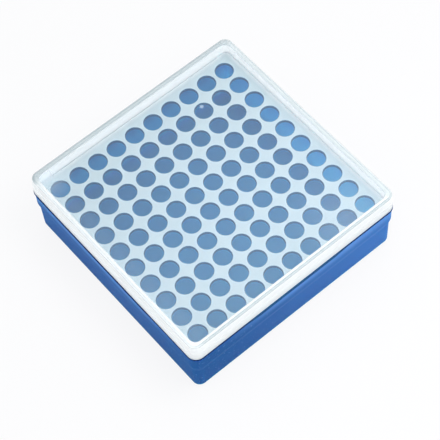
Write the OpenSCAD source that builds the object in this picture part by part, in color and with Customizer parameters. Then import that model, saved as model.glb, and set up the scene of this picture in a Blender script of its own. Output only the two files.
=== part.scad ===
// Microcentrifuge tube rack: a tapered box base, a perforated tube plate that
// drops into its rim, and a lift-off lid with a raised stacking rim.
// Every piece is a moulding whose walls run round a square with rounded
// corners, so a wall is given by its section alone: x is the distance outwards
// from a corner axis and y is the height above the table. The plate and the lid
// share one set of four corner axes and the base has its own. Lengths are
// millimetres, +Z is up and the origin is the centre of the underside.

/* [Tube grid] */
// Tube holes along each side of the plate
holes_per_side = 10; // [6:1:12]
// Distance between neighbouring tube holes
pitch = 13.8; // [12.4:0.1:20]
// Diameter of a tube hole
hole_d = 11; // [8:0.1:11.4]
// Lead-in chamfer round the top of a tube hole
hole_chamfer = 0.2; // [0.2:0.1:0.6]

/* [Tube plate] */
// Plain border outside the outermost tube holes
plate_border = 5; // [4:0.5:10]
// Thickness of the plate
plate_t = 2; // [1.6:0.1:3]
// Corner radius of the plate
plate_corner_r = 3.4; // [2.4:0.1:7]
// Rounding of the plate's upper edge
plate_edge_r = 0.5; // [0.3:0.1:0.8]
// Play between the plate's edge and the rim of the base
plate_gap = 0.3; // [0.2:0.05:0.5]

/* [Base] */
// Height from the table to the ledge that the lid stands on
base_h = 37; // [30:0.5:60]
// Thickness of the floor
floor_t = 2; // [1.5:0.1:4]
// Thickness of the rim beside the plate
rim_wall = 1.9; // [1.6:0.1:3]
// Corner radius of the thick band under the lid
base_corner_r = 6.1; // [5.6:0.1:9]
// Width of the seat under the plate's edge
seat_w = 1.4; // [1:0.1:1.8]
// Depth of the seat below the lid's ledge
seat_depth = 0.9; // [0.6:0.1:1.4]
// Inward lean of each wall from the neck down to the floor
base_draft = 0.3; // [0.2:0.1:0.8]
// Height of the thick band under the ledge
band_h = 11; // [8:0.5:14]
// How far the wall steps in below the band
band_step = 1.1; // [0.8:0.1:1.4]
// Height of the curve that blends the band into the wall
band_blend_h = 6.2; // [5:0.2:8]
// How far the lip under the lid stands out from the lid's edge
lip_out = 0.2; // [0.1:0.1:0.6]
// Height of the lip under the lid
lip_h = 1.2; // [0.8:0.1:2]
// Rounding of the base's lower edge
base_edge_r = 1; // [0.5:0.1:1.5]
// Radius inside the base where the walls meet the floor
floor_fillet_r = 2; // [1:0.1:2]

/* [Stacking foot] */
// Height of the foot under the base
foot_h = 1; // [0.6:0.1:1.1]
// Width of the foot's ring
foot_w = 3; // [2:0.5:6]
// Play between the foot and the rim of the lid below it
stack_gap = 0.4; // [0.3:0.1:0.8]

/* [Lid] */
// Height of the lid
lid_h = 13; // [11:0.5:30]
// Thickness of the lid's side walls at the bottom
lid_wall = 2.1; // [1.8:0.1:2.6]
// Play between the lid and the edge of the plate
lid_gap = 0.3; // [0.2:0.05:0.5]
// Height of the lid's lower tier
tier_h = 7.6; // [5:0.2:8]
// Step between the lower and the upper tier
tier_step = 0.3; // [0.2:0.1:0.5]
// Inward lean of the lower tier
lower_draft = 0.1; // [0.05:0.05:0.2]
// Inward lean of the upper tier
upper_draft = 0.4; // [0.2:0.1:0.6]
// Inward lean of the lid's inner wall
inner_draft = 0.6; // [0.3:0.1:0.8]
// Width of the raised rim on top
rim_w = 3.1; // [2.4:0.1:4]
// Depth of the panel below the raised rim
recess_depth = 1.2; // [1.2:0.1:1.6]
// Corner radius inside the raised rim
recess_corner_r = 4.3; // [3:0.1:8]
// Thickness of the lid's panel
panel_t = 1.4; // [1.2:0.1:2]
// Rounding of the lid's upper outer edge
lid_edge_r = 0.6; // [0.3:0.1:0.8]
// Rounding where the lid's lower edge and the base's lip meet
seam_r = 0.4; // [0.2:0.1:0.5]
// Chamfer of the rim's inner edge
rim_chamfer = 0.4; // [0.2:0.1:0.6]
// Radius inside the lid where the walls meet the panel
lid_fillet_r = 1; // [0.5:0.1:1.5]

/* [Hidden] */

// Facets of a full turn: corners, then holes
corner_fn = 96;
hole_fn = 48;
// Overrun that carries a cut clear of the face it opens
cut = 1;

// Plan: the corner axes of the plate and lid stand at (+-axis_xy, +-axis_xy)
grid_span = (holes_per_side - 1) * pitch;
plate_half = grid_span / 2 + hole_d / 2 + plate_border;
axis_xy = plate_half - plate_corner_r;
seat_half = plate_half + plate_gap;
band_half = seat_half + rim_wall;
base_axis_xy = band_half - base_corner_r;

// Heights of the assembled rack
floor_z = foot_h + floor_t;
seat_z = base_h - seat_depth;
plate_top_z = seat_z + plate_t;
lid_top_z = base_h + lid_h;
panel_z = lid_top_z - recess_depth;
ceiling_z = panel_z - panel_t;
tier_z = base_h + tier_h;
lip_z = base_h - lip_h;

// Distances outwards from the corner axes: lid
lid_in_r = plate_corner_r + lid_gap;
lid_out_r = lid_in_r + lid_wall;
tier_r = lid_out_r - lower_draft;
upper_r = tier_r - tier_step;
lid_top_r = upper_r - upper_draft;
ceiling_r = lid_in_r - inner_draft;

// Distances outwards from the corner axes: base
seat_r = plate_corner_r + plate_gap;
cavity_r = seat_half - seat_w - base_axis_xy;
cavity_low_r = cavity_r - base_draft;
lip_r = lid_out_r + lip_out;
neck_r = base_corner_r - band_step;
low_r = neck_r - base_draft;

// Base band: its foot, the neck below it and the two arcs that join them
band_z = base_h - band_h;
neck_z = band_z - band_blend_h;
blend_z = (band_z + neck_z) / 2;
blend_r = (base_corner_r + neck_r) / 2;
blend_arc_r = (pow(band_blend_h, 2) + pow(band_step, 2)) / (4 * band_step);

// Raised rim and the foot of the next rack that nests inside it
recess_half = axis_xy + lid_top_r - rim_w;
foot_half = recess_half - stack_gap;

// A solid on a rounded square: the 2-D child is its section outside the
// corner axes, and a block from low to high fills the middle.
module rounded_square_solid(axes, low, high) {
    for (quarter = [0:3])
        rotate(90 * quarter)
            translate([axes, axes, 0]) {
                rotate_extrude(angle = 90, $fn = corner_fn) children();
                rotate([90, 0, 0]) linear_extrude(2 * axes) children();
            }
    translate([-axes, -axes, low]) cube([2 * axes, 2 * axes, high - low]);
}

// A plain slab on a rounded square
module slab(half, r, low, high) {
    rounded_square_solid(half - r, low, high)
        translate([0, low]) square([r, high - low]);
}

// Every tube hole in turn
module at_each_hole() {
    for (column = [0:holes_per_side - 1], row = [0:holes_per_side - 1])
        translate([column * pitch - grid_span / 2, row * pitch - grid_span / 2, 0]) children();
}

// Section of the base's outside: rounded lower edge, drafted wall, an S-shaped
// blend out to the band, and the band up into the lip.
module base_section() {
    intersection() {
        polygon([[0, foot_h], [low_r, foot_h], [neck_r, neck_z], [0, neck_z]]);
        union() {
            translate([low_r - base_edge_r, foot_h + base_edge_r])
                circle(base_edge_r, $fn = corner_fn);
            translate([0, foot_h]) square([low_r - base_edge_r, base_h]);
            translate([0, foot_h + base_edge_r]) square([base_corner_r, base_h]);
        }
    }
    difference() {
        translate([0, neck_z]) square([blend_r, blend_z - neck_z]);
        translate([neck_r + blend_arc_r, neck_z]) circle(blend_arc_r, $fn = 2 * corner_fn);
    }
    intersection() {
        translate([0, blend_z]) square([base_corner_r, band_z - blend_z]);
        translate([base_corner_r - blend_arc_r, band_z])
            circle(blend_arc_r, $fn = 2 * corner_fn);
    }
    translate([0, band_z]) square([base_corner_r, band_h - seam_r]);
}

// Section of the lip that the lid stands on; it follows the lid's own outline
module lip_section() {
    translate([0, lip_z]) square([lip_r, lip_h - seam_r]);
    translate([0, lip_z]) square([lip_r - seam_r, lip_h]);
    translate([lip_r - seam_r, base_h - seam_r]) circle(seam_r, $fn = hole_fn);
}

// Section of the space inside the base, up to the plate's seat
module cavity_section() {
    fillet_z = floor_z + floor_fillet_r;
    polygon([
        [0, fillet_z],
        [cavity_low_r, fillet_z],
        [cavity_r, seat_z],
        [cavity_r, seat_z + cut],
        [0, seat_z + cut]
    ]);
    translate([0, floor_z]) square([cavity_low_r - floor_fillet_r, floor_fillet_r]);
    translate([cavity_low_r - floor_fillet_r, fillet_z])
        intersection() {
            circle(floor_fillet_r, $fn = corner_fn);
            translate([0, -floor_fillet_r]) square(floor_fillet_r);
        }
}

module base_box() {
    color([0.25, 0.43, 0.68]) {
        difference() {
            union() {
                rounded_square_solid(base_axis_xy, foot_h, base_h) base_section();
                rounded_square_solid(axis_xy, lip_z, base_h) lip_section();
            }
            rounded_square_solid(base_axis_xy, floor_z, seat_z + cut) cavity_section();
            slab(seat_half, seat_r, seat_z, base_h + cut);
        }
        stacking_foot();
    }
}

// Low ring that drops inside the raised rim of a lid below
module stacking_foot() {
    difference() {
        slab(foot_half, recess_corner_r - stack_gap, 0, foot_h);
        slab(foot_half - foot_w, recess_corner_r - stack_gap, -cut, foot_h + cut);
    }
}

// Section of the plate's edge, rounded along the top
module plate_section() {
    translate([0, seat_z]) square([plate_corner_r, plate_t - plate_edge_r]);
    translate([0, seat_z]) square([plate_corner_r - plate_edge_r, plate_t]);
    translate([plate_corner_r - plate_edge_r, plate_top_z - plate_edge_r])
        circle(plate_edge_r, $fn = hole_fn);
}

module tube_plate() {
    color([0.93, 0.96, 0.97])
        difference() {
            rounded_square_solid(axis_xy, seat_z, plate_top_z) plate_section();
            at_each_hole() {
                translate([0, 0, seat_z - cut]) cylinder(d = hole_d, h = plate_t + 2 * cut, $fn = hole_fn);
                translate([0, 0, plate_top_z - hole_chamfer])
                    cylinder(
                        d1 = hole_d,
                        d2 = hole_d + 2 * (hole_chamfer + cut),
                        h = hole_chamfer + cut,
                        $fn = hole_fn
                    );
            }
        }
}

// Section of the lid's outside: two tiers, the lower one rounded at the seam
// and the upper one round its top edge
module lid_section() {
    seam_z = base_h + seam_r;
    translate([0, base_h]) square([lid_out_r - seam_r, seam_r]);
    translate([lid_out_r - seam_r, seam_z])
        intersection() {
            circle(seam_r, $fn = hole_fn);
            translate([0, -seam_r]) square(seam_r);
        }
    polygon([[0, seam_z], [lid_out_r, seam_z], [tier_r, tier_z], [0, tier_z]]);
    intersection() {
        polygon([[0, tier_z], [upper_r, tier_z], [lid_top_r, lid_top_z], [0, lid_top_z]]);
        union() {
            translate([0, tier_z]) square([upper_r, lid_h - tier_h - lid_edge_r]);
            translate([0, tier_z]) square([lid_top_r - lid_edge_r, lid_h - tier_h]);
            translate([lid_top_r - lid_edge_r, lid_top_z - lid_edge_r])
                circle(lid_edge_r, $fn = hole_fn);
        }
    }
}

// Section of the space inside the lid, rounded where the walls meet the panel
module lid_inside_section() {
    fillet_z = ceiling_z - lid_fillet_r;
    polygon([
        [0, base_h - cut],
        [lid_in_r, base_h - cut],
        [lid_in_r, base_h],
        [ceiling_r, fillet_z],
        [0, fillet_z]
    ]);
    translate([0, fillet_z]) square([ceiling_r - lid_fillet_r, lid_fillet_r]);
    translate([ceiling_r - lid_fillet_r, fillet_z])
        intersection() {
            circle(lid_fillet_r, $fn = hole_fn);
            square(lid_fillet_r);
        }
}

// Section of the cut that sinks the panel below the rim
module recess_section() {
    rim_edge_z = lid_top_z - rim_chamfer;
    translate([0, panel_z]) square([recess_corner_r, recess_depth]);
    polygon([
        [0, rim_edge_z],
        [recess_corner_r, rim_edge_z],
        [recess_corner_r + rim_chamfer + cut, lid_top_z + cut],
        [0, lid_top_z + cut]
    ]);
}

module lid() {
    color([0.95, 0.98, 0.99, 0.45])
        difference() {
            rounded_square_solid(axis_xy, base_h, lid_top_z) lid_section();
            rounded_square_solid(axis_xy, base_h - cut, ceiling_z) lid_inside_section();
            rounded_square_solid(recess_half - recess_corner_r, panel_z, lid_top_z + cut) recess_section();
        }
}

base_box();
tube_plate();
lid();
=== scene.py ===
# %% [markdown]
# # A box rack for microcentrifuge tubes
# The rack is three injection mouldings: a blue box, a white plate with a grid of tube holes, and a
# frosted lid. The fixed frame already holds their exact solids. Here each one gets a finer visual
# mesh of the same size and a moulded-plastic finish, then the scene gets a floor, light and camera.

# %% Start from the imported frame
import math

import bmesh
import bpy
from mathutils import Matrix, Vector


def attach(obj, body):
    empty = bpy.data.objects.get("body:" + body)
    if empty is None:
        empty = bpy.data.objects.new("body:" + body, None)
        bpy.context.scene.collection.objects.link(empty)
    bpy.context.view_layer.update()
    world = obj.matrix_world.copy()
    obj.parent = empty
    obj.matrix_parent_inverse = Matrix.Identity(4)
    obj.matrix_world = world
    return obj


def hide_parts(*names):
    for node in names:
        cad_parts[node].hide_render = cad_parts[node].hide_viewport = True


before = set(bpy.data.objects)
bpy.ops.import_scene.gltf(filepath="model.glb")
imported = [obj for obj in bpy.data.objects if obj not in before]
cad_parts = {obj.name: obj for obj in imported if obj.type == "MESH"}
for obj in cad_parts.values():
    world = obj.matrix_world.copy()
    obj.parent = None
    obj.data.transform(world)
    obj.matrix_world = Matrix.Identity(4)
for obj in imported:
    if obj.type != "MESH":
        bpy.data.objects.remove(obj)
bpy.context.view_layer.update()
print("CAD nodes:", sorted(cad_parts))

# %% [markdown]
# ## Sizes
# Mouldings are drawn in millimetres, and Blender's scene is in metres. All three pieces stand on
# squares with rounded corners, so a size across is given as half a width, measured from the middle.
# Sizes that two pieces share are named once here and used by both.

# %% Sizes of the rack in millimetres
MM = 0.001
PITCH, HOLES_PER_SIDE = 13.8, 10
HOLE_R, HOLE_CHAMFER = 5.5, 0.2

FOOT_TOP, FLOOR_TOP = 1.0, 3.0
NECK_Z, BAND_Z, LIP_Z = 19.8, 26.0, 35.8
SEAT_Z, SEAM_Z, PLATE_TOP = 36.1, 37.0, 38.1
TIER_Z, CEILING_Z, PANEL_Z, LID_TOP = 44.6, 47.4, 48.8, 50.0

FOOT_IN, FOOT_OUT = 67.7, 70.7   # inner and outer faces of the ring-shaped stacking foot
FOOT_R = 3.9            # its corner radius
PLATE_HALF = 72.6       # the plate's edge
LEDGE_HALF = 72.9       # inner edge of the ledge that the lid stands on
BAND_HALF = 74.8        # the base's thick band
NECK_HALF = 73.7        # the base's wall below the band
BOTTOM_HALF = 73.4      # the base's wall at the bottom
INNER_HALF = 71.5       # the base's inner wall, under the plate's seat
LINING_HALF = 71.2      # the same wall where it meets the floor
LIP_HALF = 75.2         # the lip under the lid
LID_HALF = 75.0         # the lid's lower edge
RIM_HALF = 71.1         # inner face of the lid's raised rim
TOP_HALF = 74.2         # the lid's upper edge
HOLLOW_HALF = 72.3      # the lid's inner wall under its ceiling

LID_AXIS = 69.2         # the rounded corners of plate and lid turn about x, y = +-69.2
BASE_AXIS = 68.7        # and those of the base about +-68.7
RIM_AXIS = 66.8         # the wider corners inside the lid's raised rim turn about +-66.8
print("tube holes:", HOLES_PER_SIDE ** 2)
print("plate left between two holes:", round(PITCH - 2 * HOLE_R, 2), "mm")

# %% [markdown]
# ## One helper for every node
# Shaders and Geometry Nodes are both trees of nodes. This small function adds one node: each setting
# is a property of the node, an input by name or number, or a link when its value is another node.
# A list of nodes is linked one by one, for the sockets that join several geometries.

# %% Helper: add a node
def add(tree, kind, settings):
    """Add a node with its settings; a node given as a value stands for its first output."""
    node = tree.nodes.new(kind)
    for key, value in settings.items():
        sources = value if isinstance(value, list) else [value]
        sources = [s.outputs[0] if isinstance(s, bpy.types.Node) else s for s in sources]
        if isinstance(key, str) and key not in node.inputs:
            setattr(node, key, value)
        elif isinstance(sources[0], bpy.types.NodeSocket):
            for source in sources:
                tree.links.new(source, node.inputs[key])
        else:
            node.inputs[key].default_value = value
    return node


# %% Helper: start a Geometry Nodes tree
def new_tree(name, inputs):
    """A Geometry Nodes tree that takes a geometry and the named inputs and gives a geometry."""
    tree = bpy.data.node_groups.new(name, "GeometryNodeTree")
    tree.interface.new_socket("Geometry", in_out="OUTPUT", socket_type="NodeSocketGeometry")
    tree.interface.new_socket("Geometry", in_out="INPUT", socket_type="NodeSocketGeometry")
    for label, kind in inputs.items():
        tree.interface.new_socket(label, in_out="INPUT", socket_type="NodeSocket" + kind)
    return tree, tree.nodes.new("NodeGroupInput").outputs


# %% [markdown]
# ## One rule for every wall
# A moulded box is one section carried round a square with rounded corners. Bevelling a cube would lose
# the exact radii. So the section's points are handed to Geometry Nodes as a mesh of loose points: x is
# half the width there, y the corner radius and z the height. The tree lays a grid with one row for each
# point, and moves every grid vertex to its place on that row's rounded square.

# %% One point's place on a rounded square
def on_rounded_square(tree, turn, steps, point):
    """Where a section's point comes to lie, a whole number of corner steps round the square."""
    half, radius, height = add(tree, "ShaderNodeSeparateXYZ", {0: point}).outputs
    # each quarter of the turn sweeps 90 degrees about one corner's axis
    quarter = add(tree, "ShaderNodeMath", {"operation": "DIVIDE", 0: turn, 1: steps})
    quarter = add(tree, "ShaderNodeMath", {"operation": "FLOOR", 0: quarter})
    step = add(tree, "ShaderNodeMath", {"operation": "MODULO", 0: turn, 1: steps})
    last = add(tree, "ShaderNodeMath", {"operation": "SUBTRACT", 0: steps, 1: 1})
    share = add(tree, "ShaderNodeMath", {"operation": "DIVIDE", 0: step, 1: last})
    angle = add(tree, "ShaderNodeMath", {"operation": "ADD", 0: quarter, 1: share})
    angle = add(tree, "ShaderNodeMath", {"operation": "MULTIPLY", 0: angle, 1: math.pi / 2})
    # the corner's axis stands on the diagonal
    corner = add(tree, "ShaderNodeMath", {"operation": "ADD", 0: quarter, 1: 0.5})
    corner = add(tree, "ShaderNodeMath", {"operation": "MULTIPLY", 0: corner, 1: math.pi / 2})
    axis = add(tree, "ShaderNodeMath", {"operation": "SUBTRACT", 0: half, 1: radius})
    axis = add(tree, "ShaderNodeMath", {"operation": "MULTIPLY", 0: axis, 1: math.sqrt(2)})
    across = []
    for wave in ("COSINE", "SINE"):
        to_axis = add(tree, "ShaderNodeMath", {"operation": wave, 0: corner})
        to_edge = add(tree, "ShaderNodeMath", {"operation": wave, 0: angle})
        to_edge = add(tree, "ShaderNodeMath", {"operation": "MULTIPLY", 0: to_edge, 1: radius})
        across.append(add(tree, "ShaderNodeMath",
                          {"operation": "MULTIPLY_ADD", 0: to_axis, 1: axis, 2: to_edge}))
    return add(tree, "ShaderNodeCombineXYZ", {0: across[0], 1: across[1], 2: height})


# %% The tree that carries a section round a rounded square
CLOSE_M = 1e-6       # points nearer than a thousandth of a millimetre are one


def wall_tree():
    tree, given = new_tree("section_round_a_square", {"Corner Steps": "Int", "Material": "Material"})
    rows = add(tree, "GeometryNodeAttributeDomainSize", {"component": "MESH", 0: given["Geometry"]})
    rows = rows.outputs["Point Count"]
    steps = given["Corner Steps"]
    around = add(tree, "ShaderNodeMath", {"operation": "MULTIPLY", 0: steps, 1: 4})
    # one column more than the steps all round, so that the last closes on the first
    columns = add(tree, "ShaderNodeMath", {"operation": "ADD", 0: around, 1: 1})
    grid = add(tree, "GeometryNodeMeshGrid", {"Vertices X": columns, "Vertices Y": rows})

    index = add(tree, "GeometryNodeInputIndex", {})
    column = add(tree, "ShaderNodeMath", {"operation": "DIVIDE", 0: index, 1: rows})
    column = add(tree, "ShaderNodeMath", {"operation": "FLOOR", 0: column})
    turn = add(tree, "ShaderNodeMath", {"operation": "MODULO", 0: column, 1: around})
    row = add(tree, "ShaderNodeMath", {"operation": "MODULO", 0: index, 1: rows})
    point = add(tree, "GeometryNodeSampleIndex",
                {"data_type": "FLOAT_VECTOR", "domain": "POINT", "Geometry": given["Geometry"],
                 "Value": add(tree, "GeometryNodeInputPosition", {}), "Index": row})
    place = on_rounded_square(tree, turn, steps, point)

    moved = add(tree, "GeometryNodeSetPosition", {"Geometry": grid, "Position": place})
    closed = add(tree, "GeometryNodeMergeByDistance", {"Geometry": moved, "Distance": CLOSE_M})
    real = add(tree, "GeometryNodeRealizeInstances", {0: closed})
    dressed = add(tree, "GeometryNodeSetMaterial", {"Geometry": real, "Material": given["Material"]})
    add(tree, "NodeGroupOutput", {"Geometry": dressed})
    return tree


WALL_TREE = wall_tree()
print("wall tree:", len(WALL_TREE.nodes), "nodes")

# %% Finish a mesh as a piece
SHARP_ANGLE = math.radians(32)       # an edge that turns more than this stays crisp


def finished(name, mesh):
    """Link the mesh as an object, with its faces outwards and its crisp edges kept crisp."""
    work = bmesh.new()
    work.from_mesh(mesh)
    bmesh.ops.recalc_face_normals(work, faces=work.faces)
    open_edges = sum(1 for edge in work.edges if not edge.is_manifold)
    work.to_mesh(mesh)
    work.free()
    mesh.shade_smooth()
    mesh.set_sharp_from_angle(angle=SHARP_ANGLE)
    piece = bpy.data.objects.new(name, mesh)
    bpy.context.scene.collection.objects.link(piece)
    size_mm = [round((max(side) - min(side)) / MM, 1) for side in zip(*(v.co for v in mesh.vertices))]
    print(f"{name}: {len(mesh.polygons)} faces, {open_edges} open edges, {size_mm} mm")
    return piece


# %% Run a tree and keep the result as a plain mesh
def grow(name, points_mm, tree, inputs):
    """The piece that the tree makes from the section's points, as a plain mesh."""
    section = bpy.data.meshes.new(name + "_section")
    section.from_pydata([Vector(point) * MM for point in points_mm], [], [])
    seed = bpy.data.objects.new(name + "_section", section)
    bpy.context.scene.collection.objects.link(seed)
    modifier = seed.modifiers.new("grow", "NODES")
    modifier.node_group = tree
    for socket in tree.interface.items_tree:
        if socket.in_out == "INPUT" and socket.name in inputs:
            modifier[socket.identifier] = inputs[socket.name]
    evaluated = seed.evaluated_get(bpy.context.evaluated_depsgraph_get())
    mesh = bpy.data.meshes.new_from_object(evaluated)
    seed.modifiers.clear()
    bpy.data.objects.remove(seed)
    return finished(name, mesh)


# %% Helpers: section points on a corner axis
def on_axis(axis, half, z):
    """A section point whose corners turn about the given axis."""
    return (half, half - axis, z)


def arc(axis, half, z, r, start, end, steps=5):
    """Section points of a rounding: its centre is at half and z, and its angles are in degrees."""
    angles = [math.radians(start + (end - start) * step / steps) for step in range(steps + 1)]
    return [on_axis(axis, half + r * math.cos(a), z + r * math.sin(a)) for a in angles]


# %% [markdown]
# ## Finishes
# All three pieces are polypropylene, the waxy plastic of lab boxes. Its sheen is a soft satin from the
# spark-eroded mould: a broad dull highlight over a very fine grain. Colour is never quite even, because
# pigment and melt flow leave faint clouds. Image textures would need files, and a fit for every face.
# Noises and masks read the place on the object instead, in real millimetres.

# %% Helper: colours
def linear(hex_colour):
    """An sRGB hex colour as the linear RGBA that shaders work in."""
    channels = [int(hex_colour[i:i + 2], 16) / 255 for i in (1, 3, 5)]
    return [c / 12.92 if c <= 0.04045 else ((c + 0.055) / 1.055) ** 2.4 for c in channels] + [1.0]


print("mid grey in linear light:", round(linear("#808080")[0], 3))


# %% Helpers: start a material, and measure outwards on it
def new_material(name):
    """An empty material. Returns it, its tree, and the place on the object that patterns read."""
    material = bpy.data.materials.new(name)
    material.use_nodes = True
    tree = material.node_tree
    tree.nodes.clear()
    return material, tree, add(tree, "ShaderNodeTexCoord", {}).outputs["Object"]


def outward(tree, place, axis):
    """How far a point lies outside the corner axes, in metres: the same all along a wall."""
    x, y, _ = add(tree, "ShaderNodeSeparateXYZ", {0: place}).outputs
    beyond = []
    for side in (x, y):
        side = add(tree, "ShaderNodeMath", {"operation": "ABSOLUTE", 0: side})
        side = add(tree, "ShaderNodeMath", {"operation": "SUBTRACT", 0: side, 1: axis * MM})
        beyond.append(add(tree, "ShaderNodeMath", {"operation": "MAXIMUM", 0: side, 1: 0.0}))
    plan = add(tree, "ShaderNodeCombineXYZ", {0: beyond[0], 1: beyond[1]})
    return add(tree, "ShaderNodeVectorMath", {"operation": "LENGTH", 0: plan}).outputs["Value"]


# %% What the three finishes share
GRAIN_MM = 0.5       # mould grain is about 0.1 mm; drawn coarser so that it shows
CLOUD_MM = 45.0      # clouds where the melt flowed through the mould
PP_IOR = 1.49        # polypropylene
# a Mix node has sockets for every kind of value: these are its two colours and its mixed colour
UNDER, OVER, MIXED = 6, 7, 2
print("grain and clouds in mm:", GRAIN_MM, CLOUD_MM)


def mould_grain(tree, place, least, most):
    """The fine grain that the mould leaves, and a roughness that follows it between two values."""
    grain = add(tree, "ShaderNodeTexNoise",
                {"Vector": place, "Scale": 1 / (GRAIN_MM * MM), "Detail": 2.0})
    return grain, add(tree, "ShaderNodeMapRange", {"Value": grain, "To Min": least, "To Max": most})


# %% [markdown]
# ### Blue polypropylene
# The base is injection moulded from pigmented polypropylene with a fine matt texture, so it gives the
# eye one deep blue with little gloss. Its colour also carries painted light and shade: the band under
# the lid is painted palest, the inside is a painted paler copy of the blue, the front corner is painted
# darker, a painted shadow lies under the lid's edge, and the ledge is painted near white. Small pale
# scuffs gather at the front corner. Each is a mask from the place on the object, mixed over the colour
# below it. Subsurface light softens the edges as wax does. Its scale is far above the real path,
# because the renderer's random walk takes about a twelfth of it.

# %% Blue polypropylene: the outside
# the front corner: its blue is painted darker as shade, and most scuffs lie there
SHADED_HELD_CORNER = (BAND_HALF * MM, -66 * MM, 30 * MM)      # where a hand takes the box
SCUFF_MM = 1.6


def outside_blue(tree, place):
    """The outer colour: cloudy, painted lighter to +Y and in the band, painted darker and scuffed at the
    corner.
    """
    _, y, height = add(tree, "ShaderNodeSeparateXYZ", {0: place}).outputs
    cloud = add(tree, "ShaderNodeTexNoise",
                {"Vector": place, "Scale": 1 / (CLOUD_MM * MM), "Detail": 3.0})
    colour = add(tree, "ShaderNodeMix", {"data_type": "RGBA", 0: cloud, UNDER: linear("#325892"),
                                         OVER: linear("#38609A")})
    # painted light: the outer blue is paler towards +Y
    lit_towards_plus_y = add(tree, "ShaderNodeMapRange", {"Value": y, "From Min": -15 * MM, "From Max": 60 * MM})
    colour = add(tree, "ShaderNodeMix", {"data_type": "RGBA", 0: lit_towards_plus_y, UNDER: colour.outputs[MIXED],
                                         OVER: linear("#3F6CAC")})
    # a mask that is 0 at the shaded, held corner and 1 away from it
    away = add(tree, "ShaderNodeVectorMath", {"operation": "DISTANCE", 0: place, 1: SHADED_HELD_CORNER})
    away = add(tree, "ShaderNodeMapRange",
               {"interpolation_type": "SMOOTHSTEP", "Value": away.outputs["Value"],
                "From Min": 5 * MM, "From Max": 68 * MM})
    # painted shade: the blue is darker at the front corner
    colour = add(tree, "ShaderNodeMix", {"data_type": "RGBA", 0: away, UNDER: linear("#26528A"),
                                         OVER: colour.outputs[MIXED]})
    # painted light: the band under the lid is paler towards its top, less so near the front corner
    glow = add(tree, "ShaderNodeMapRange", {"interpolation_type": "SMOOTHSTEP", "Value": height,
                                            "From Min": 27 * MM, "From Max": 33 * MM})
    glow = add(tree, "ShaderNodeMath", {"operation": "MULTIPLY", 0: glow, 1: away})
    colour = add(tree, "ShaderNodeMix", {"data_type": "RGBA", 0: glow, UNDER: colour.outputs[MIXED],
                                         OVER: linear("#5683C2")})
    # small pale scuffs, most of them at the held corner
    scuff = add(tree, "ShaderNodeTexNoise",
                {"Vector": place, "Scale": 1 / (SCUFF_MM * MM), "Detail": 4.0})
    scuff = add(tree, "ShaderNodeMapRange", {"Value": scuff, "From Min": 0.6, "From Max": 0.72})
    rubbed = add(tree, "ShaderNodeMapRange", {"Value": away, "To Min": 0.3, "To Max": 0.05})
    scuff = add(tree, "ShaderNodeMath", {"operation": "MULTIPLY", 0: scuff, 1: rubbed})
    colour = add(tree, "ShaderNodeMix", {"data_type": "RGBA", 0: scuff, UNDER: colour.outputs[MIXED],
                                         OVER: linear("#86A8D4")})
    return colour.outputs[MIXED]


# %% Blue polypropylene: the lining
def inside_of_base(tree, out, height):
    """A mask that is 1 inside the box: less than 4 mm beyond the corner axes and above the floor."""
    inner = add(tree, "ShaderNodeMapRange", {"Value": out, "From Min": 4.0 * MM, "From Max": 3.6 * MM})
    above = add(tree, "ShaderNodeMapRange", {"Value": height, "From Min": (FLOOR_TOP - 0.4) * MM,
                                             "From Max": (FLOOR_TOP - 0.1) * MM})
    return add(tree, "ShaderNodeMath", {"operation": "MULTIPLY", 0: inner, 1: above})


def lining_blue(tree, place):
    """The inner colour, a paler copy of the blue: painted light on the walls, most at +Y, and on the
    floor to +X.
    """
    x, y, height = add(tree, "ShaderNodeSeparateXYZ", {0: place}).outputs
    # painted light: the lining is painted paler than the outer blue, more on the floor towards +X and on
    # the far wall at +Y
    across = add(tree, "ShaderNodeMapRange", {"Value": x, "From Min": -60 * MM, "From Max": 60 * MM})
    floor = add(tree, "ShaderNodeMix", {"data_type": "RGBA", 0: across, UNDER: linear("#3693D8"),
                                        OVER: linear("#46A5F2")})
    painted_lit_wall = add(tree, "ShaderNodeMix", {"data_type": "RGBA", 0: across, UNDER: linear("#3AA6DA"),
                                          OVER: linear("#7EC4FF")})
    far = add(tree, "ShaderNodeMapRange", {"interpolation_type": "SMOOTHSTEP", "Value": y,
                                           "From Min": 60 * MM, "From Max": 69 * MM})
    wall = add(tree, "ShaderNodeMix", {"data_type": "RGBA", 0: far, UNDER: linear("#2890BC"),
                                       OVER: painted_lit_wall.outputs[MIXED]})
    up_wall = add(tree, "ShaderNodeMapRange", {"Value": height, "From Min": FLOOR_TOP * MM,
                                               "From Max": (FLOOR_TOP + 0.6) * MM})
    lining = add(tree, "ShaderNodeMix", {"data_type": "RGBA", 0: up_wall,
                                         UNDER: floor.outputs[MIXED], OVER: wall.outputs[MIXED]})
    return lining.outputs[MIXED]


# %% Blue polypropylene: painted shadow under the lid's edge
SHADOW_DEEPEST_AT = (BAND_HALF * MM, 0, LIP_Z * MM)        # where the painted shadow reaches lowest, in the middle of the +X side
SHADOW_SHALLOW, SHADOW_DEEP = 0.9, 2.6                   # how far below the lip it reaches, in mm


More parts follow.
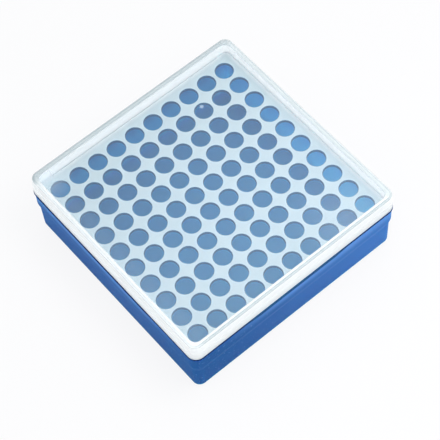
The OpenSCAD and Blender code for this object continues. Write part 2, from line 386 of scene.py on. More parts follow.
def shaded_under_lid(tree, place, clean, inside):
    """The clean colour with a painted shadow under the lid's edge, reaching lowest along -Y and mid +X.
    """
    x, y, height = add(tree, "ShaderNodeSeparateXYZ", {0: place}).outputs
    near_deepest = add(tree, "ShaderNodeVectorMath", {"operation": "DISTANCE", 0: place, 1: SHADOW_DEEPEST_AT})
    near_deepest = add(tree, "ShaderNodeMapRange",
                 {"interpolation_type": "SMOOTHSTEP", "Value": near_deepest.outputs["Value"],
                  "From Min": 42 * MM, "From Max": 26 * MM})
    along = add(tree, "ShaderNodeMapRange", {"Value": x, "From Min": 45 * MM, "From Max": 30 * MM})
    front = add(tree, "ShaderNodeMapRange", {"Value": y, "From Min": -72 * MM, "From Max": -73.5 * MM})
    front = add(tree, "ShaderNodeMath", {"operation": "MULTIPLY", 0: front, 1: along})
    lowest = add(tree, "ShaderNodeMath", {"operation": "MAXIMUM", 0: front, 1: near_deepest})
    edge = add(tree, "ShaderNodeMapRange", {"Value": lowest, "To Min": (LIP_Z - SHADOW_SHALLOW) * MM,
                                            "To Max": (LIP_Z - SHADOW_DEEP) * MM})
    above = add(tree, "ShaderNodeMath", {"operation": "SUBTRACT", 0: height, 1: edge})
    lid_shadow = add(tree, "ShaderNodeMapRange", {"Value": above, "From Min": 0.0, "From Max": 0.6 * MM})
    outside = add(tree, "ShaderNodeMath", {"operation": "SUBTRACT", 0: 1.0, 1: inside})
    lid_shadow = add(tree, "ShaderNodeMath", {"operation": "MULTIPLY", 0: lid_shadow, 1: outside})
    # the painted shadow is less dark where it reaches lowest, in the middle of the +X side
    shadow_colour = add(tree, "ShaderNodeMix", {"data_type": "RGBA", 0: near_deepest, UNDER: linear("#04173A"),
                                       OVER: linear("#143061")})
    shaded_blue = add(tree, "ShaderNodeMix", {"data_type": "RGBA", 0: lid_shadow, UNDER: clean,
                                         OVER: shadow_colour.outputs[MIXED]})
    return shaded_blue.outputs[MIXED]


# %% Blue polypropylene, injection moulded
def blue_polypropylene():
    material, tree, place = new_material("moulded_blue_polypropylene")
    _, _, height = add(tree, "ShaderNodeSeparateXYZ", {0: place}).outputs
    out = outward(tree, place, BASE_AXIS)
    inside = inside_of_base(tree, out, height)
    blue = add(tree, "ShaderNodeMix", {"data_type": "RGBA", 0: inside,
                                       UNDER: outside_blue(tree, place),
                                       OVER: lining_blue(tree, place)})
    shaded_blue = shaded_under_lid(tree, place, blue.outputs[MIXED], inside)
    # painted light: the ledge between the plate's seat and the lip is painted near white, lifting its
    # shade
    lit_ledge = add(tree, "ShaderNodeMapRange", {"Value": out, "From Min": 5.9 * MM, "From Max": 5.6 * MM})
    high = add(tree, "ShaderNodeMapRange", {"Value": height, "From Min": (SEAT_Z - 0.1) * MM,
                                            "From Max": SEAT_Z * MM})
    lit_ledge = add(tree, "ShaderNodeMath", {"operation": "MULTIPLY", 0: lit_ledge, 1: high})
    colour = add(tree, "ShaderNodeMix", {"data_type": "RGBA", 0: lit_ledge, UNDER: shaded_blue,
                                         OVER: linear("#DCE9F1")})
    grain, rough = mould_grain(tree, place, 0.6, 0.75)
    bump = add(tree, "ShaderNodeBump", {"Height": grain, "Strength": 0.12, "Distance": 0.05 * MM})
    plastic = add(tree, "ShaderNodeBsdfPrincipled",
                  {"Base Color": colour.outputs[MIXED], "Roughness": rough, "Normal": bump,
                   "IOR": PP_IOR, "Specular IOR Level": 0.06, "Subsurface Weight": 1.0,
                   "Subsurface Radius": (0.3, 1.0, 1.0), "Subsurface Scale": 10.0 * MM})
    add(tree, "ShaderNodeOutputMaterial", {"Surface": plastic})
    print(material.name, "has", len(tree.nodes), "nodes")
    return material


BLUE = blue_polypropylene()

# %% [markdown]
# ### White polypropylene
# The plate is white and matt. A faint pale ring runs round each hole. The hole's own wall is painted
# dark blue as shade from the blue box, and the border beyond the holes is painted whiter as light. The
# pattern needs the distance to the nearest hole, so each point's place is counted in pitches, and cells
# beyond the last hole are held to it. Without that limit the border would show rings of holes that
# aren't there.

# %% White polypropylene: the distance to the nearest hole
def from_nearest_hole(tree, place):
    """How far a point lies from the middle of the nearest tube hole, in metres."""
    first, last = -HOLES_PER_SIDE / 2, HOLES_PER_SIDE / 2 - 1
    cell = add(tree, "ShaderNodeVectorMath", {"operation": "DIVIDE", 0: place, 1: [PITCH * MM] * 3})
    cell = add(tree, "ShaderNodeVectorMath", {"operation": "FLOOR", 0: cell})
    cell = add(tree, "ShaderNodeVectorMath", {"operation": "MAXIMUM", 0: cell, 1: [first] * 3})
    cell = add(tree, "ShaderNodeVectorMath", {"operation": "MINIMUM", 0: cell, 1: [last] * 3})
    centre = add(tree, "ShaderNodeVectorMath", {"operation": "MULTIPLY_ADD", 0: cell,
                                                1: [PITCH * MM] * 3, 2: [PITCH * MM / 2] * 3})
    aside = add(tree, "ShaderNodeVectorMath", {"operation": "SUBTRACT", 0: place, 1: centre})
    x, y, _ = add(tree, "ShaderNodeSeparateXYZ", {0: aside}).outputs
    plan = add(tree, "ShaderNodeCombineXYZ", {0: x, 1: y})
    return add(tree, "ShaderNodeVectorMath", {"operation": "LENGTH", 0: plan}).outputs["Value"]


# %% White polypropylene, injection moulded
def white_polypropylene():
    material, tree, place = new_material("moulded_white_polypropylene")
    cloud = add(tree, "ShaderNodeTexNoise",
                {"Vector": place, "Scale": 1 / (CLOUD_MM * MM), "Detail": 2.0})
    body = add(tree, "ShaderNodeMix", {"data_type": "RGBA", 0: cloud, UNDER: linear("#B5C7C9"),
                                       OVER: linear("#BECFD0")})
    from_hole = from_nearest_hole(tree, place)
    ring = add(tree, "ShaderNodeMapRange", {"interpolation_type": "SMOOTHSTEP", "Value": from_hole,
                                            "From Min": 7.4 * MM, "From Max": 6.0 * MM})
    ringed = add(tree, "ShaderNodeMix", {"data_type": "RGBA", 0: ring, UNDER: body.outputs[MIXED],
                                         OVER: linear("#B9D1D7")})
    # painted light: the border beyond the holes is painted whiter, lifting the shade of the lid's walls
    lit_border = add(tree, "ShaderNodeMapRange",
                 {"interpolation_type": "SMOOTHSTEP", "Value": outward(tree, place, LID_AXIS),
                  "From Min": 0.5 * MM, "From Max": 3.2 * MM})
    lit_bordered = add(tree, "ShaderNodeMix", {"data_type": "RGBA", 0: lit_border,
                                           UNDER: ringed.outputs[MIXED], OVER: linear("#DAE6E9")})
    # painted shade: from just outside the chamfer inwards, the hole's own wall is painted dark blue
    wall = add(tree, "ShaderNodeMapRange", {"Value": from_hole, "From Min": (HOLE_R + 0.4) * MM,
                                            "From Max": (HOLE_R + 0.22) * MM})
    colour = add(tree, "ShaderNodeMix", {"data_type": "RGBA", 0: wall,
                                         UNDER: lit_bordered.outputs[MIXED], OVER: linear("#0E4668")})
    grain, rough = mould_grain(tree, place, 0.45, 0.6)
    bump = add(tree, "ShaderNodeBump", {"Height": grain, "Strength": 0.1, "Distance": 0.05 * MM})
    plastic = add(tree, "ShaderNodeBsdfPrincipled",
                  {"Base Color": colour.outputs[MIXED], "Roughness": rough, "Normal": bump,
                   "IOR": PP_IOR, "Specular IOR Level": 0.3, "Subsurface Weight": 1.0,
                   "Subsurface Radius": (1.0, 1.0, 1.0), "Subsurface Scale": 9.0 * MM})
    add(tree, "ShaderNodeOutputMaterial", {"Surface": plastic})
    print(material.name, "has", len(tree.nodes), "nodes")
    return material


WHITE = white_polypropylene()

# %% [markdown]
# ### Natural polypropylene
# The lid has no pigment, so it is milky: clear enough in the thin panel to show the plate, and nearly
# white in the thick rim. Glass with a rough surface would blur the holes, but on the real lid they stay
# crisp, so the milk is drawn as a share of the surface that is there (alpha) over a clear rest. A wall
# has two skins, and milk on both would count it twice, so the skin that is met from behind is clear.
# Milk scatters light but hardly stops it: rays that carry light inside meet less of it than the eye
# does, or the plate's border would lie in a shade that the real lid doesn't throw. Painted shade greys
# the milk towards -X and on the rim's flat top, and a painted grey line runs along the rim's inner edge.
# The panel's milk rises towards +X and at two corners as painted sheen.

# %% Natural polypropylene: the haze of the panel
# painted sheen: two corners get more milk; each has a middle and a reach in mm, and an extra share
SHEEN_CORNERS = ((70, 44, 40, 0.065), (-69, -69, 20, 0.2))


def panel_haze_and_sheen(tree, place):
    """The panel's share of milk: more along -Y, and painted sheen towards +X and at two corners."""
    x, y, _ = add(tree, "ShaderNodeSeparateXYZ", {0: place}).outputs
    panel = add(tree, "ShaderNodeMapRange", {"Value": x, "From Min": -60 * MM, "From Max": 65 * MM,
                                             "To Min": 0.12, "To Max": 0.15})
    near = add(tree, "ShaderNodeMapRange", {"Value": y, "From Min": -58 * MM, "From Max": -65 * MM,
                                            "To Max": 0.035})
    panel = add(tree, "ShaderNodeMath", {"operation": "ADD", 0: panel, 1: near})
    for x_mm, y_mm, reach, extra in SHEEN_CORNERS:
        aside = add(tree, "ShaderNodeVectorMath", {"operation": "DISTANCE", 0: place,
                                                   1: (x_mm * MM, y_mm * MM, PANEL_Z * MM)})
        corner_sheen = add(tree, "ShaderNodeMapRange",
                   {"interpolation_type": "SMOOTHSTEP", "Value": aside.outputs["Value"],
                    "From Min": reach * MM, "From Max": 0.0, "To Max": extra})
        panel = add(tree, "ShaderNodeMath", {"operation": "ADD", 0: panel, 1: corner_sheen})
    return panel


# %% Natural polypropylene: scratches and a pale fleck
SCRATCH_MM = 0.8
FLECK_AT = (-45.5 * MM, 31.3 * MM, PANEL_Z * MM)


def marks(tree, place):
    """Two extra shares of milk: fine scratches from stacking, and one small pale fleck on the panel."""
    turned = add(tree, "ShaderNodeMapping", {"Vector": place, "Rotation": (0, 0, math.radians(35)),
                                             "Scale": (1.0, 0.03, 1.0)})
    scratch = add(tree, "ShaderNodeTexNoise",
                  {"Vector": turned, "Scale": 1 / (SCRATCH_MM * MM), "Detail": 2.0})
    scratch = add(tree, "ShaderNodeMapRange", {"Value": scratch, "From Min": 0.62, "From Max": 0.7,
                                               "To Max": 0.04})
    fleck = add(tree, "ShaderNodeVectorMath", {"operation": "DISTANCE", 0: place, 1: FLECK_AT})
    fleck = add(tree, "ShaderNodeMapRange", {"Value": fleck.outputs["Value"], "From Min": 1.5 * MM,
                                              "From Max": 0.8 * MM, "To Max": 0.3})
    return scratch, fleck


# %% Natural polypropylene: how milky it is
THICK_MILK = 0.98    # the share of milk in the thick rim and sides
PASSING_MILK = 0.6   # how much of the milk counts for light on its way to the inside


def milk_share(tree, place, wall):
    """How much of the lid's surface is milk, from 0 for clear to 1 for white."""
    cloud = add(tree, "ShaderNodeTexNoise",
                {"Vector": place, "Scale": 1 / (CLOUD_MM * MM), "Detail": 3.0})
    cloud = add(tree, "ShaderNodeMapRange", {"Value": cloud, "To Min": 0.96, "To Max": 1.04})
    milk = add(tree, "ShaderNodeMapRange", {"Value": wall, "To Min": panel_haze_and_sheen(tree, place),
                                            "To Max": THICK_MILK})
    milk = add(tree, "ShaderNodeMath", {"operation": "MULTIPLY", 0: milk, 1: cloud})
    for mark in marks(tree, place):
        milk = add(tree, "ShaderNodeMath", {"operation": "ADD", 0: milk, 1: mark})
    # a wall has two skins: only the one that faces the light or the eye is milky
    behind = add(tree, "ShaderNodeNewGeometry", {}).outputs["Backfacing"]
    front = add(tree, "ShaderNodeMath", {"operation": "SUBTRACT", 0: 1.0, 1: behind})
    milk = add(tree, "ShaderNodeMath", {"operation": "MULTIPLY", 0: milk, 1: front})
    # light on its way to the inside meets less of the milk than the eye does
    path = add(tree, "ShaderNodeLightPath", {}).outputs
    on_its_way = add(tree, "ShaderNodeMath", {"operation": "MAXIMUM", 0: path["Is Shadow Ray"],
                                              1: path["Is Diffuse Ray"]})
    passing = add(tree, "ShaderNodeMapRange", {"Value": on_its_way, "To Min": 1.0,
                                               "To Max": PASSING_MILK})
    return add(tree, "ShaderNodeMath", {"operation": "MULTIPLY", 0: milk, 1: passing})


# %% Natural polypropylene: the painted shade of the rim's flat top
def top_shade(tree, place, minus_x_shade, far_side):
    """Painted shade on the rim's top: along its outer edge all round, and inside it on two sides."""
    _, y, _ = add(tree, "ShaderNodeSeparateXYZ", {0: place}).outputs
    outer = add(tree, "ShaderNodeMapRange",
                {"interpolation_type": "SMOOTHSTEP", "Value": outward(tree, place, LID_AXIS),
                 "From Min": 3.2 * MM, "From Max": 3.7 * MM})
    along = add(tree, "ShaderNodeMapRange", {"Value": y, "From Min": -72 * MM, "From Max": -66 * MM,
                                             "To Min": 0.52, "To Max": 0.82})
    strength = add(tree, "ShaderNodeMath", {"operation": "MAXIMUM", 0: minus_x_shade, 1: along})
    outer = add(tree, "ShaderNodeMath", {"operation": "MULTIPLY", 0: outer, 1: strength})
    at_end = add(tree, "ShaderNodeMath", {"operation": "MULTIPLY", 0: minus_x_shade, 1: 0.8})
    at_far = add(tree, "ShaderNodeMath", {"operation": "MULTIPLY", 0: far_side, 1: 0.65})
    inner = add(tree, "ShaderNodeMath", {"operation": "MAXIMUM", 0: at_end, 1: at_far})
    return add(tree, "ShaderNodeMath", {"operation": "MAXIMUM", 0: outer, 1: inner})


# %% Natural polypropylene: the tint of the milk
def milk_tint(tree, place, wall, from_rim):
    """The milk's colour, with painted shade towards -X, on the rim's top and along its inner edge."""
    x, y, height = add(tree, "ShaderNodeSeparateXYZ", {0: place}).outputs
    # painted shade: the milk is greyer towards -X; at +Y the rim's top is greyer too
    minus_x_shade = add(tree, "ShaderNodeMapRange", {"interpolation_type": "SMOOTHSTEP", "Value": x,
                                                "From Min": -60 * MM, "From Max": -72 * MM})
    far_side = add(tree, "ShaderNodeMapRange", {"interpolation_type": "SMOOTHSTEP", "Value": y,
                                                "From Min": 66 * MM, "From Max": 72 * MM})
    side = add(tree, "ShaderNodeMix", {"data_type": "RGBA", 0: minus_x_shade, UNDER: linear("#F3FBFD"),
                                       OVER: linear("#E4ECEF")})
    tint = add(tree, "ShaderNodeMix", {"data_type": "RGBA", 0: wall, UNDER: linear("#D2E8F9"),
                                       OVER: side.outputs[MIXED]})
    # a mask for the height of the rim's flat top
    level = add(tree, "ShaderNodeMapRange", {"Value": height, "From Min": (LID_TOP - 0.9) * MM,
                                             "From Max": (LID_TOP - 0.6) * MM})
    shade = top_shade(tree, place, minus_x_shade, far_side)
    shade = add(tree, "ShaderNodeMath", {"operation": "MULTIPLY", 0: shade, 1: level})
    # painted shade: the rim's flat top is mixed towards grey
    tint = add(tree, "ShaderNodeMix", {"data_type": "RGBA", 0: shade, UNDER: tint.outputs[MIXED],
                                       OVER: linear("#838F94")})
    # painted shade: a fine grey line along the rim's inner edge, fainter on the far sides
    crease_shade = add(tree, "ShaderNodeMapRange", {"Value": from_rim, "From Min": 4.85 * MM,
                                              "From Max": 4.7 * MM})
    far = add(tree, "ShaderNodeMath", {"operation": "MAXIMUM", 0: far_side, 1: minus_x_shade})
    sharp = add(tree, "ShaderNodeMapRange", {"Value": far, "To Min": 0.4, "To Max": 0.12})
    crease_shade = add(tree, "ShaderNodeMath", {"operation": "MULTIPLY", 0: crease_shade, 1: sharp})
    crease_shade = add(tree, "ShaderNodeMath", {"operation": "MULTIPLY", 0: crease_shade, 1: level})
    tint = add(tree, "ShaderNodeMix", {"data_type": "RGBA", 0: crease_shade, UNDER: tint.outputs[MIXED],
                                       OVER: linear("#5A6E7C")})
    return tint.outputs[MIXED]


# %% Natural polypropylene, frosted
def frosted_polypropylene():
    material, tree, place = new_material("frosted_natural_polypropylene")
    from_rim = outward(tree, place, RIM_AXIS)
    # a mask that is 0 in the thin panel and 1 in the rim and the sides
    wall = add(tree, "ShaderNodeMapRange",
               {"interpolation_type": "SMOOTHSTEP", "Value": from_rim, "From Min": 4.1 * MM,
                "From Max": 4.35 * MM})
    _, rough = mould_grain(tree, place, 0.3, 0.42)
    plastic = add(tree, "ShaderNodeBsdfPrincipled",
                  {"Base Color": milk_tint(tree, place, wall, from_rim),
                   "Alpha": milk_share(tree, place, wall), "Roughness": rough,
                   "IOR": PP_IOR, "Specular IOR Level": 0.3, "Subsurface Weight": wall,
                   "Subsurface Radius": (1.0, 1.0, 1.0), "Subsurface Scale": 20.0 * MM})
    add(tree, "ShaderNodeOutputMaterial", {"Surface": plastic})
    print(material.name, "has", len(tree.nodes), "nodes")
    return material


FROST = frosted_polypropylene()

# %% [markdown]
# ## The base
# The base is a deep box whose walls lean in a little towards the floor, so that it leaves its mould.
# Its upper third is a thicker band, and a thin lip on top carries the lid. The section runs from the
# middle of the underside, over the foot, up the outside, over the lip and down to the middle of the
# floor, so the wall tree closes it into one solid skin.

# %% The section of the base
BLEND_STEPS = 12     # steps of the S-shaped blend from wall to band
CORNER_STEPS = 14    # columns of the mesh at each rounded corner


def base_section():
    """From the middle of the underside round the outside and the lip to the middle of the floor."""
    foot = [(FOOT_IN - 1.0, FOOT_R - 1.0, FOOT_TOP), (FOOT_IN, FOOT_R, FOOT_TOP - 0.02),
            (FOOT_IN, FOOT_R, 0.2), (FOOT_IN + 0.2, FOOT_R, 0), (FOOT_OUT - 0.2, FOOT_R, 0),
            (FOOT_OUT, FOOT_R, 0.2), (FOOT_OUT, FOOT_R, FOOT_TOP)]
    wall = arc(BASE_AXIS, BOTTOM_HALF - 1.0, FOOT_TOP + 1.0, 1.0, -90, 0)
    for step in range(BLEND_STEPS + 1):
        share = step / BLEND_STEPS
        half = NECK_HALF + (BAND_HALF - NECK_HALF) * (share * share * (3 - 2 * share))
        wall.append(on_axis(BASE_AXIS, half, NECK_Z + (BAND_Z - NECK_Z) * share))
    lip = [on_axis(BASE_AXIS, BAND_HALF, LIP_Z - 0.3), on_axis(BASE_AXIS, BAND_HALF, LIP_Z - 0.02),
           on_axis(LID_AXIS, LIP_HALF - 0.1, LIP_Z), on_axis(LID_AXIS, LIP_HALF, LIP_Z + 0.1)]
    lip += arc(LID_AXIS, LIP_HALF - 0.4, SEAM_Z - 0.4, 0.4, 0, 90)
    seat = [on_axis(LID_AXIS, LEDGE_HALF + 0.2, SEAM_Z),
            on_axis(LID_AXIS, LEDGE_HALF + 0.06, SEAM_Z - 0.06),
            on_axis(LID_AXIS, LEDGE_HALF, SEAM_Z - 0.2), on_axis(LID_AXIS, LEDGE_HALF, SEAT_Z),
            on_axis(BASE_AXIS, INNER_HALF + 0.2, SEAT_Z), on_axis(BASE_AXIS, INNER_HALF, SEAT_Z - 0.2)]
    inside = arc(BASE_AXIS, LINING_HALF - 2.0, FLOOR_TOP + 2.0, 2.0, 0, -90, 6)
    inside += [(68.0, 0.3, FLOOR_TOP), (0, 0, FLOOR_TOP)]
    return [(0, 0, FOOT_TOP)] + foot + wall + lip + seat + inside


print("points in the base's section:", len(base_section()))

# %% Base
base = grow("base_box_moulding", base_section(), WALL_TREE,
            {"Corner Steps": CORNER_STEPS, "Material": BLUE})
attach(base, "root")
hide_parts("base_box")

# %% [markdown]
# ## The tube plate
# The plate is a flat moulding pierced by a square grid of round holes, so it follows a rule from end to
# end. Cutting a hundred cylinders with booleans is slow and leaves ragged shading. Instead one tree
# draws the outline and a grid of circles as curves, fills between them for the two faces, and sets a
# ready-made hole wall in each opening. Merging the shared points then closes the piece.

# %% The wall of one hole
def hole_wall(tree, given, bottom, bore_top, wide):
    """The bore, and the chamfer that flares above it."""
    depth = add(tree, "ShaderNodeMath", {"operation": "SUBTRACT", 0: bore_top, 1: bottom})
    bore = add(tree, "GeometryNodeMeshCone",
               {"fill_type": "NONE", "Vertices": given["Hole Steps"],
                "Radius Top": given["Hole Radius"], "Radius Bottom": given["Hole Radius"],
                "Depth": depth})
    flare = add(tree, "GeometryNodeMeshCone",
                {"fill_type": "NONE", "Vertices": given["Hole Steps"], "Radius Top": wide,
                 "Radius Bottom": given["Hole Radius"], "Depth": given["Chamfer"]})
    parts = []
    for cone, level in ((bore, bottom), (flare, bore_top)):
        lift = add(tree, "ShaderNodeCombineXYZ", {2: level})
        parts.append(add(tree, "GeometryNodeTransform", {"Geometry": cone, "Translation": lift}))
    return add(tree, "GeometryNodeJoinGeometry", {0: parts})


# %% The two faces between the holes
def pierced_faces(tree, given, edge, centres, bottom, bore_top, wide):
    """The top and bottom faces: each is filled between the outline at its height and the circles."""
    _, _, z = add(tree, "ShaderNodeSeparateXYZ", {0: add(tree, "GeometryNodeInputPosition", {})}).outputs
    # the edge band is open along its top and its bottom: one face meets there, and two elsewhere
    neighbours = add(tree, "GeometryNodeInputMeshEdgeNeighbors", {})
    is_open = add(tree, "ShaderNodeMath", {"operation": "LESS_THAN", 0: neighbours, 1: 1.5})
    middle = add(tree, "ShaderNodeMath", {"operation": "SUBTRACT", 0: bore_top, 1: given["Chamfer"]})
    faces = []
    for level, radius, side in ((given["Top"], wide, "GREATER_THAN"),
                                (bottom, given["Hole Radius"], "LESS_THAN")):
        there = add(tree, "ShaderNodeMath", {"operation": side, 0: z, 1: middle})
        chosen = add(tree, "ShaderNodeMath", {"operation": "MULTIPLY", 0: is_open, 1: there})
        outline = add(tree, "GeometryNodeMeshToCurve", {"Mesh": edge, "Selection": chosen})
        circle = add(tree, "GeometryNodeCurvePrimitiveCircle",
                     {"Resolution": given["Hole Steps"], "Radius": radius})
        circles = add(tree, "GeometryNodeInstanceOnPoints", {"Points": centres, "Instance": circle})
        circles = add(tree, "GeometryNodeRealizeInstances", {0: circles})
        curves = add(tree, "GeometryNodeJoinGeometry", {0: [outline, circles]})
        fill = add(tree, "GeometryNodeFillCurve", {"mode": "TRIANGLES", "Curve": curves})
        lift = add(tree, "ShaderNodeCombineXYZ", {2: level})
        faces.append(add(tree, "GeometryNodeTransform", {"Geometry": fill, "Translation": lift}))
    return faces


# %% The tree that perforates a plate
def perforated_tree():
    tree, given = new_tree("perforated_plate", {
        "Corner Steps": "Int", "Holes per Side": "Int", "Hole Steps": "Int", "Pitch": "Float",
        "Hole Radius": "Float", "Chamfer": "Float", "Top": "Float", "Thickness": "Float",
        "Material": "Material"})
    edge = add(tree, "GeometryNodeGroup",
               {"node_tree": WALL_TREE, "Geometry": given["Geometry"],
                "Corner Steps": given["Corner Steps"], "Material": given["Material"]})
    gaps = add(tree, "ShaderNodeMath", {"operation": "SUBTRACT", 0: given["Holes per Side"], 1: 1})
    span = add(tree, "ShaderNodeMath", {"operation": "MULTIPLY", 0: gaps, 1: given["Pitch"]})
    centres = add(tree, "GeometryNodeMeshGrid",
                  {"Size X": span, "Size Y": span, "Vertices X": given["Holes per Side"],
                   "Vertices Y": given["Holes per Side"]})
    bottom = add(tree, "ShaderNodeMath", {"operation": "SUBTRACT", 0: given["Top"],
                                          1: given["Thickness"]})
    bore_top = add(tree, "ShaderNodeMath", {"operation": "SUBTRACT", 0: given["Top"],
                                            1: given["Chamfer"]})
    wide = add(tree, "ShaderNodeMath", {"operation": "ADD", 0: given["Hole Radius"],
                                        1: given["Chamfer"]})
    hole = hole_wall(tree, given, bottom, bore_top, wide)
    holes = add(tree, "GeometryNodeInstanceOnPoints", {"Points": centres, "Instance": hole})
    faces = pierced_faces(tree, given, edge, centres, bottom, bore_top, wide)

    whole = add(tree, "GeometryNodeJoinGeometry", {0: [edge, holes] + faces})
    real = add(tree, "GeometryNodeRealizeInstances", {0: whole})
    closed = add(tree, "GeometryNodeMergeByDistance", {"Geometry": real, "Distance": 2 * CLOSE_M})
    dressed = add(tree, "GeometryNodeSetMaterial", {"Geometry": closed, "Material": given["Material"]})
    add(tree, "NodeGroupOutput", {"Geometry": dressed})
    return tree


PERFORATED_TREE = perforated_tree()
print("plate tree:", len(PERFORATED_TREE.nodes), "nodes")

# %% Tube plate
HOLE_STEPS = 40      # sides of the polygon that stands for each round hole

plate_edge = (
    [on_axis(LID_AXIS, PLATE_HALF - 1.0, PLATE_TOP)]
    + arc(LID_AXIS, PLATE_HALF - 0.5, PLATE_TOP - 0.5, 0.5, 90, 0)
    + [on_axis(LID_AXIS, PLATE_HALF, SEAT_Z)]
)
plate = grow("tube_plate_moulding", plate_edge, PERFORATED_TREE, {
    "Corner Steps": CORNER_STEPS, "Holes per Side": HOLES_PER_SIDE, "Hole Steps": HOLE_STEPS,
    "Pitch": PITCH * MM, "Hole Radius": HOLE_R * MM, "Chamfer": HOLE_CHAMFER * MM,
    "Top": PLATE_TOP * MM, "Thickness": (PLATE_TOP - SEAT_Z) * MM, "Material": WHITE})
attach(plate, "root")
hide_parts("tube_plate")

# %% [markdown]
# ## The lid
# The lid is a shallow tray turned over. A raised rim runs round its top, and the panel inside the
# rim is sunk so that the foot of another rack nests there. Halfway up the side a small step marks
# the start of the slimmer upper tier. Solidify could give a sheet its thickness, but the rim is much
# thicker than the panel, so the section is drawn all round, outside and inside.

# %% The section of the lid
def lid_section():
    """From the middle of the sunk panel over the rim and down the outside, then back inside."""
    # on the rim's flat top, the corners change from the rim's axis to the lid's
    rim = [on_axis(RIM_AXIS, 69.9, PANEL_Z), on_axis(RIM_AXIS, RIM_HALF - 0.3, PANEL_Z),
           on_axis(RIM_AXIS, RIM_HALF - 0.1, PANEL_Z + 0.1), on_axis(RIM_AXIS, RIM_HALF, PANEL_Z + 0.3),
           on_axis(RIM_AXIS, RIM_HALF, LID_TOP - 0.4), on_axis(RIM_AXIS, RIM_HALF + 0.1, LID_TOP - 0.15),
           on_axis(RIM_AXIS, RIM_HALF + 0.4, LID_TOP), (72.4, 4.0, LID_TOP)]
    upper = arc(LID_AXIS, TOP_HALF - 0.6, LID_TOP - 0.6, 0.6, 90, 2)
    # the small step between the two tiers
    step = [on_axis(LID_AXIS, 74.58, TIER_Z + 0.15), on_axis(LID_AXIS, 74.66, TIER_Z + 0.02),
            on_axis(LID_AXIS, 74.8, TIER_Z - 0.02), on_axis(LID_AXIS, 74.9, TIER_Z - 0.15)]
    lower = arc(LID_AXIS, LID_HALF - 0.4, SEAM_Z + 0.4, 0.4, 0, -90)
    lower += [on_axis(LID_AXIS, LEDGE_HALF + 0.2, SEAM_Z), on_axis(LID_AXIS, LEDGE_HALF, SEAM_Z + 0.2)]
    inside = arc(LID_AXIS, HOLLOW_HALF - 1.0, CEILING_Z - 1.0, 1.0, 0, 90, 6)
    inside += [on_axis(LID_AXIS, 70.2, CEILING_Z), (0, 0, CEILING_Z)]
    return [(0, 0, PANEL_Z)] + rim + upper + step + lower + inside


print("points in the lid's section:", len(lid_section()))

# %% Lid
lid = grow("lid_moulding", lid_section(), WALL_TREE,
           {"Corner Steps": CORNER_STEPS, "Material": FROST})
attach(lid, "root")
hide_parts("lid")

# %% [markdown]
# ## Floor, light and camera
# The rack stands on a plain pale floor under a white studio sky. One softbox, high and a little to +X
# and +Y, adds a gentle direction. More light would turn the floor white and the rack's pale plastics
# with it. So the floor itself shows a clean white to the camera and to reflections, and it keeps a
# share of its true shade, so that the rack's shadow stays.

# %% Floor
FLOOR_SIDE = 3.0     # half of the floor's side, in metres
CLEAN_SHARE = 0.9    # how much of the clean white the eye meets; the rest is the shaded paper


def pale_floor_finish():
    """Matt paper, with a clean white for the rays that only look at it."""
    material, tree, _ = new_material("pale_studio_floor")
    paper = add(tree, "ShaderNodeBsdfDiffuse", {"Color": linear("#F4F5F6")})
    glow = add(tree, "ShaderNodeEmission", {"Color": linear("#FBFBFC"), "Strength": 1.0})
    path = add(tree, "ShaderNodeLightPath", {}).outputs
    seen = add(tree, "ShaderNodeMath", {"operation": "MAXIMUM", 0: path["Is Camera Ray"],
                                        1: path["Is Glossy Ray"]})
    seen = add(tree, "ShaderNodeMath", {"operation": "MAXIMUM", 0: seen,
                                        1: path["Is Transmission Ray"]})
    seen = add(tree, "ShaderNodeMath", {"operation": "MULTIPLY", 0: seen, 1: CLEAN_SHARE})
    mixed = add(tree, "ShaderNodeMixShader", {0: seen, 1: paper, 2: glow})
    add(tree, "ShaderNodeOutputMaterial", {"Surface": mixed})
    return material


floor_mesh = bpy.data.meshes.new("studio_floor")
corners = [(-FLOOR_SIDE, -FLOOR_SIDE, 0), (FLOOR_SIDE, -FLOOR_SIDE, 0),
           (FLOOR_SIDE, FLOOR_SIDE, 0), (-FLOOR_SIDE, FLOOR_SIDE, 0)]
floor_mesh.from_pydata(corners, [], [(0, 1, 2, 3)])
floor_mesh.materials.append(pale_floor_finish())
floor = bpy.data.objects.new("studio_floor", floor_mesh)
bpy.context.scene.collection.objects.link(floor)
print("floor:", 2 * FLOOR_SIDE, "m square")

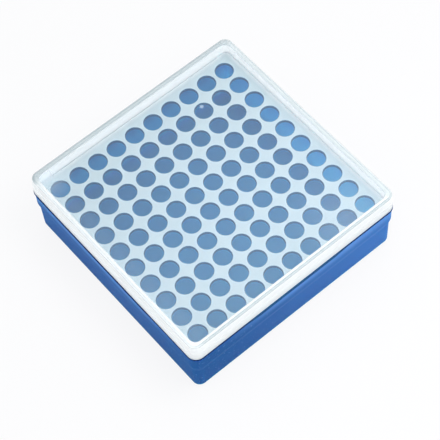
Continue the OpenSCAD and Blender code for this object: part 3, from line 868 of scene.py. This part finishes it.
# %% Sky and softbox
SKY_STRENGTH = 0.96
KEY_AT, KEY_AIM = (0.13, 0.08, 0.42), (0.03, 0.03, 0.03)   # in metres
KEY_SIDE, KEY_WATTS = 0.25, 1.0

world = bpy.data.worlds.new("studio_sky")
world.use_nodes = True
sky = world.node_tree.nodes["Background"].inputs
sky["Color"].default_value = linear("#FFFFFF")
sky["Strength"].default_value = SKY_STRENGTH
bpy.context.scene.world = world

lamp = bpy.data.lights.new("key_softbox", "AREA")
lamp.shape, lamp.size, lamp.energy = "SQUARE", KEY_SIDE, KEY_WATTS
key = bpy.data.objects.new("key_softbox", lamp)
bpy.context.scene.collection.objects.link(key)
key.location = KEY_AT
key.rotation_euler = (Vector(KEY_AIM) - Vector(KEY_AT)).to_track_quat("-Z", "Y").to_euler()
print("sky strength:", SKY_STRENGTH, "softbox:", KEY_WATTS, "W")

# %% [markdown]
# ### Camera
# The camera looks down on the corner between +X and -Y with a long lens, from about a metre away, so
# that the rack is hardly drawn in by perspective. Its place is worked out from an azimuth and an
# elevation about a point in the lid, and a small roll tilts the view.

# %% Camera
AIM_MM, DISTANCE_MM = (15.2, -6.5, 38.1), 991.5
AZIMUTH, ELEVATION, ROLL = -35.67, 59.76, -5.2     # in degrees
LENS_MM, SENSOR_MM = 142.4, 36.0

camera = bpy.data.cameras.new("studio_camera")
camera.lens, camera.sensor_width = LENS_MM, SENSOR_MM
camera.clip_start, camera.clip_end = 0.05, 20.0
holder = bpy.data.objects.new("studio_camera", camera)
bpy.context.scene.collection.objects.link(holder)
az, el = math.radians(AZIMUTH), math.radians(ELEVATION)
back = Vector((math.cos(el) * math.cos(az), math.cos(el) * math.sin(az), math.sin(el)))
turn = back.to_track_quat("Z", "Y").to_matrix() @ Matrix.Rotation(math.radians(ROLL), 3, "Z")
holder.matrix_world = Matrix.Translation(
    (Vector(AIM_MM) + back * DISTANCE_MM) * MM) @ turn.to_4x4()
bpy.context.scene.camera = holder
bpy.context.scene.view_settings.view_transform = "Standard"
print("camera at, in metres:", [round(v, 3) for v in holder.matrix_world.translation])
